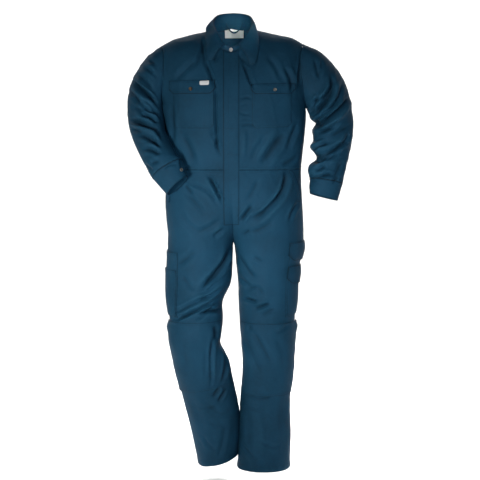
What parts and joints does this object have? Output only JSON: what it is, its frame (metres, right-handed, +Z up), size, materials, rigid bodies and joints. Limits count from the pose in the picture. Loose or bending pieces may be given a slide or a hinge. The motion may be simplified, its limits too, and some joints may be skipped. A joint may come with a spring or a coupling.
{
  "type": "boiler suit",
  "caption": "Hollow work boiler suit, shaped as worn, with shirt collar, front placket, chest, hip and thigh pockets and knee patches",
  "frame": {"origin": "middle of the neck opening at shoulder height, where the wearer's shoulders carry the suit", "axes": "+Z up along the wearer, -Y towards the suit's front, +X towards the wearer's left"},
  "size_m": [0.7768, 0.3214, 1.5945],
  "materials": {
    "twill": "dark blue-green cotton and polyester twill, matt",
    "label": "bare off-white woven label",
    "steel_snap": "nickel-plated snap cap, brushed",
    "bronze_snap": "dull oxidised brass snap cap"
  },
  "bodies": {
    "root": {"back": "twill", "chest_flap_left": "twill", "chest_flap_right": "twill", "chest_pocket_left": "twill", "chest_pocket_right": "twill", "collar_leaf": "twill", "collar_stand": "twill", "cuff_left": "twill", "cuff_right": "twill", "flap_tag": "label", "front_left": "twill", "front_right": "twill", "hanger_loop": "twill", "hip_pocket_edge_left": "twill", "hip_pocket_edge_right": "twill", "knee_patch_left": "twill", "knee_patch_right": "twill", "leg_back_left": "twill", "leg_back_right": "twill", "leg_front_left": "twill", "leg_front_right": "twill", "neck_label": "label", "phone_flap_left": "twill", "phone_pocket_left": "twill", "placket": "twill", "ruler_pocket_right": "twill", "sleeve_left": "twill", "sleeve_right": "twill", "snap_chest_left": "steel_snap", "snap_chest_right": "bronze_snap", "snap_collar": "steel_snap", "snap_cuff_left": "steel_snap", "snap_cuff_right": "steel_snap", "thigh_flap_left": "twill", "thigh_pocket_left": "twill", "tool_pocket_right": "twill"}
  },
  "joints": []
}
